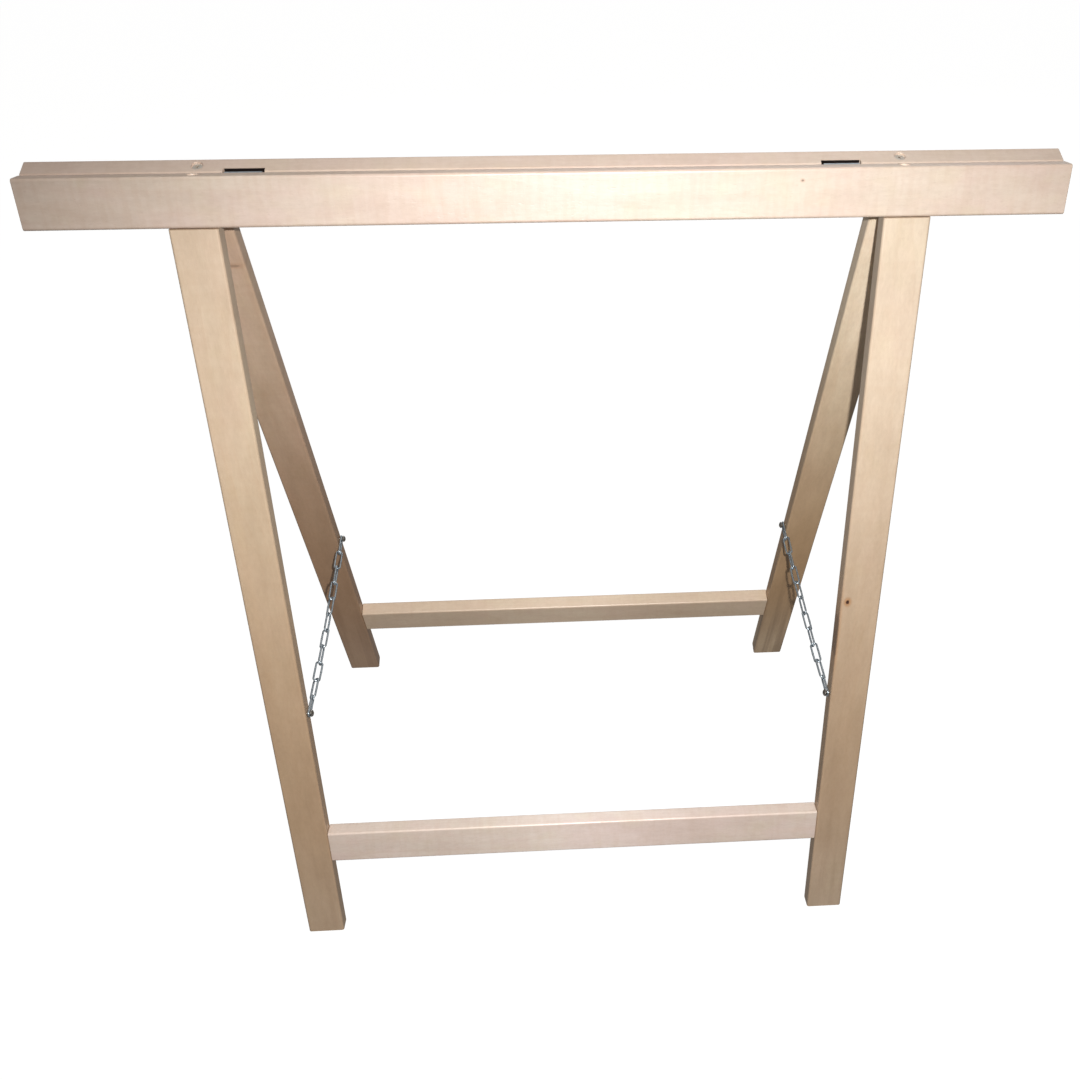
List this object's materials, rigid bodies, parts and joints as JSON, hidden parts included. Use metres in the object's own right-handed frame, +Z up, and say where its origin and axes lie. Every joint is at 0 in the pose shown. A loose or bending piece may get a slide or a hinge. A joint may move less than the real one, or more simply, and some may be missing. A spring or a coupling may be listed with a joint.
{
  "type": "folding sawhorse",
  "caption": "Folding wooden sawhorse: two flat batten frames hinged at their top rails and held open at 28 degrees by two long-link steel chains.",
  "frame": {"origin": "on the floor, midway between the four feet, under the hinge axis", "axes": "+X along the rails, to the right when looking at the front frame's outer face; +Y from the front frame to the rear frame; +Z up"},
  "size_m": [0.79, 0.405, 0.7507],
  "materials": {
    "beech": "raw planed beech with rounded long edges",
    "zinc_steel": "bluish bright zinc plating",
    "bright_steel": "bright steel round heads"
  },
  "bodies": {
    "front_frame": {"front_rail": "beech", "front_left_leg": "beech", "front_right_leg": "beech", "front_stretcher": "beech", "front_left_rail_screw": "zinc_steel", "front_left_stretcher_screw": "zinc_steel", "front_left_chain_screw": "bright_steel", "left_hinge_front_leaf": "zinc_steel", "left_hinge_front_screw_1": "zinc_steel", "left_hinge_front_screw_2": "zinc_steel", "left_hinge_pin": "zinc_steel", "front_right_rail_screw": "zinc_steel", "front_right_stretcher_screw": "zinc_steel", "front_right_chain_screw": "bright_steel", "right_hinge_front_leaf": "zinc_steel", "right_hinge_front_screw_1": "zinc_steel", "right_hinge_front_screw_2": "zinc_steel", "right_hinge_pin": "zinc_steel"},
    "rear_frame": {"rear_rail": "beech", "rear_left_leg": "beech", "rear_right_leg": "beech", "rear_stretcher": "beech", "rear_left_rail_screw": "zinc_steel", "rear_left_stretcher_screw": "zinc_steel", "rear_left_chain_screw": "bright_steel", "left_hinge_rear_leaf": "zinc_steel", "left_hinge_rear_screw_1": "zinc_steel", "left_hinge_rear_screw_2": "zinc_steel", "rear_right_rail_screw": "zinc_steel", "rear_right_stretcher_screw": "zinc_steel", "rear_right_chain_screw": "bright_steel", "right_hinge_rear_leaf": "zinc_steel", "right_hinge_rear_screw_1": "zinc_steel", "right_hinge_rear_screw_2": "zinc_steel"},
    "left_link_01": {"left_chain_link_01": "zinc_steel"},
    "left_link_02": {"left_chain_link_02": "zinc_steel"},
    "left_link_03": {"left_chain_link_03": "zinc_steel"},
    "left_link_04": {"left_chain_link_04": "zinc_steel"},
    "left_link_05": {"left_chain_link_05": "zinc_steel"},
    "left_link_06": {"left_chain_link_06": "zinc_steel"},
    "left_link_07": {"left_chain_link_07": "zinc_steel"},
    "left_link_08": {"left_chain_link_08": "zinc_steel"},
    "left_link_09": {"left_chain_link_09": "zinc_steel"},
    "left_link_10": {"left_chain_link_10": "zinc_steel"},
    "left_link_11": {"left_chain_link_11": "zinc_steel"},
    "right_link_01": {"right_chain_link_01": "zinc_steel"},
    "right_link_02": {"right_chain_link_02": "zinc_steel"},
    "right_link_03": {"right_chain_link_03": "zinc_steel"},
    "right_link_04": {"right_chain_link_04": "zinc_steel"},
    "right_link_05": {"right_chain_link_05": "zinc_steel"},
    "right_link_06": {"right_chain_link_06": "zinc_steel"},
    "right_link_07": {"right_chain_link_07": "zinc_steel"},
    "right_link_08": {"right_chain_link_08": "zinc_steel"},
    "right_link_09": {"right_chain_link_09": "zinc_steel"},
    "right_link_10": {"right_chain_link_10": "zinc_steel"},
    "right_link_11": {"right_chain_link_11": "zinc_steel"}
  },
  "joints": [
    {"name": "fold", "type": "hinge", "parent": "front_frame", "child": "rear_frame", "pos_m": [0, 0, 0.74513], "axis": [-1, 0, 0], "range_deg": [0, 28], "deforming": ["left_chain_link_05", "left_chain_link_06", "left_chain_link_07", "right_chain_link_05", "right_chain_link_06", "right_chain_link_07"]},
    {"name": "left_link_01_turn", "type": "hinge", "parent": "front_frame", "child": "left_link_01", "pos_m": [-0.2511, -0.12778, 0.27707], "axis": [-0.9942, -0.072, -0.0804], "range_deg": [0, 100.11]},
    {"name": "left_link_02_turn", "type": "hinge", "parent": "left_link_01", "child": "left_link_02", "pos_m": [-0.2511, -0.10613, 0.27556], "axis": [-0.1388, 0.363, 0.9214], "range_deg": [0, 9.85]},
    {"name": "left_link_03_turn", "type": "hinge", "parent": "left_link_02", "child": "left_link_03", "pos_m": [-0.2511, -0.08257, 0.27424], "axis": [-0.1579, -0.9863, 0.0482], "range_deg": [0, 5.08]},
    {"name": "left_link_04_turn", "type": "hinge", "parent": "left_link_03", "child": "left_link_04", "pos_m": [-0.2511, -0.05899, 0.27325], "axis": [-1, 0, 0], "range_deg": [0, 0.81]},
    {"name": "left_link_05_turn", "type": "hinge", "parent": "left_link_04", "child": "left_link_05", "pos_m": [-0.2511, -0.0354, 0.27259], "axis": [-1, 0, 0], "range_deg": [0, 0.81]},
    {"name": "left_link_06_turn", "type": "hinge", "parent": "left_link_05", "child": "left_link_06", "pos_m": [-0.2511, -0.0106, 0.27225], "axis": [0.9637, 0.1902, 0.1873], "range_deg": [0, 91.26]},
    {"name": "left_link_11_turn", "type": "hinge", "parent": "rear_frame", "child": "left_link_11", "pos_m": [-0.2511, 0.12778, 0.27707], "axis": [0.9944, -0.0853, 0.062], "range_deg": [0, 100.26]},
    {"name": "left_link_10_turn", "type": "hinge", "parent": "left_link_11", "child": "left_link_10", "pos_m": [-0.2511, 0.10613, 0.27556], "axis": [0.0857, 0.0626, -0.9944], "range_deg": [0, 9.33]},
    {"name": "left_link_09_turn", "type": "hinge", "parent": "left_link_10", "child": "left_link_09", "pos_m": [-0.2511, 0.08257, 0.27424], "axis": [1, 0, 0], "range_deg": [0, 0.81]},
    {"name": "left_link_08_turn", "type": "hinge", "parent": "left_link_09", "child": "left_link_08", "pos_m": [-0.2511, 0.05899, 0.27325], "axis": [0.3714, 0.9279, 0.0324], "range_deg": [0, 2.17]},
    {"name": "left_link_07_turn", "type": "hinge", "parent": "left_link_08", "child": "left_link_07", "pos_m": [-0.2511, 0.0354, 0.27259], "axis": [0.2576, 0.966, 0.0202], "range_deg": [0, 3.12]},
    {"name": "right_link_01_turn", "type": "hinge", "parent": "front_frame", "child": "right_link_01", "pos_m": [0.2511, -0.12778, 0.27707], "axis": [-0.9942, 0.072, 0.0804], "range_deg": [0, 100.11]},
    {"name": "right_link_02_turn", "type": "hinge", "parent": "right_link_01", "child": "right_link_02", "pos_m": [0.2511, -0.10613, 0.27556], "axis": [-0.1388, -0.363, -0.9214], "range_deg": [0, 9.85]},
    {"name": "right_link_03_turn", "type": "hinge", "parent": "right_link_02", "child": "right_link_03", "pos_m": [0.2511, -0.08257, 0.27424], "axis": [-0.1579, 0.9863, -0.0482], "range_deg": [0, 5.08]},
    {"name": "right_link_04_turn", "type": "hinge", "parent": "right_link_03", "child": "right_link_04", "pos_m": [0.2511, -0.05899, 0.27325], "axis": [-1, 0, 0], "range_deg": [0, 0.81]},
    {"name": "right_link_05_turn", "type": "hinge", "parent": "right_link_04", "child": "right_link_05", "pos_m": [0.2511, -0.0354, 0.27259], "axis": [-1, 0, 0], "range_deg": [0, 0.81]},
    {"name": "right_link_06_turn", "type": "hinge", "parent": "right_link_05", "child": "right_link_06", "pos_m": [0.2511, -0.0106, 0.27225], "axis": [0.9637, -0.1902, -0.1873], "range_deg": [0, 91.26]},
    {"name": "right_link_11_turn", "type": "hinge", "parent": "rear_frame", "child": "right_link_11", "pos_m": [0.2511, 0.12778, 0.27707], "axis": [0.9944, 0.0853, -0.062], "range_deg": [0, 100.26]},
    {"name": "right_link_10_turn", "type": "hinge", "parent": "right_link_11", "child": "right_link_10", "pos_m": [0.2511, 0.10613, 0.27556], "axis": [0.0857, -0.0626, 0.9944], "range_deg": [0, 9.33]},
    {"name": "right_link_09_turn", "type": "hinge", "parent": "right_link_10", "child": "right_link_09", "pos_m": [0.2511, 0.08257, 0.27424], "axis": [1, 0, 0], "range_deg": [0, 0.81]},
    {"name": "right_link_08_turn", "type": "hinge", "parent": "right_link_09", "child": "right_link_08", "pos_m": [0.2511, 0.05899, 0.27325], "axis": [0.3714, -0.9279, -0.0324], "range_deg": [0, 2.17]},
    {"name": "right_link_07_turn", "type": "hinge", "parent": "right_link_08", "child": "right_link_07", "pos_m": [0.2511, 0.0354, 0.27259], "axis": [0.2576, -0.966, -0.0202], "range_deg": [0, 3.12]}
  ],
  "couplings": [
    {"joint": "left_link_01_turn", "follows": "fold", "ratio": 3.5748},
    {"joint": "left_link_02_turn", "follows": "fold", "ratio": 0.35116},
    {"joint": "left_link_03_turn", "follows": "fold", "ratio": 0.18084},
    {"joint": "left_link_04_turn", "follows": "fold", "ratio": 0.028571},
    {"joint": "left_link_05_turn", "follows": "fold", "ratio": 0.028571},
    {"joint": "left_link_06_turn", "follows": "fold", "ratio": 3.2587},
    {"joint": "left_link_11_turn", "follows": "fold", "ratio": 3.5801},
    {"joint": "left_link_10_turn", "follows": "fold", "ratio": 0.33272},
    {"joint": "left_link_09_turn", "follows": "fold", "ratio": 0.028571},
    {"joint": "left_link_08_turn", "follows": "fold", "ratio": 0.07693},
    {"joint": "left_link_07_turn", "follows": "fold", "ratio": 0.11089},
    {"joint": "right_link_01_turn", "follows": "fold", "ratio": 3.5748},
    {"joint": "right_link_02_turn", "follows": "fold", "ratio": 0.35116},
    {"joint": "right_link_03_turn", "follows": "fold", "ratio": 0.18084},
    {"joint": "right_link_04_turn", "follows": "fold", "ratio": 0.028571},
    {"joint": "right_link_05_turn", "follows": "fold", "ratio": 0.028571},
    {"joint": "right_link_06_turn", "follows": "fold", "ratio": 3.2587},
    {"joint": "right_link_11_turn", "follows": "fold", "ratio": 3.5801},
    {"joint": "right_link_10_turn", "follows": "fold", "ratio": 0.33272},
    {"joint": "right_link_09_turn", "follows": "fold", "ratio": 0.028571},
    {"joint": "right_link_08_turn", "follows": "fold", "ratio": 0.07693},
    {"joint": "right_link_07_turn", "follows": "fold", "ratio": 0.11089}
  ]
}
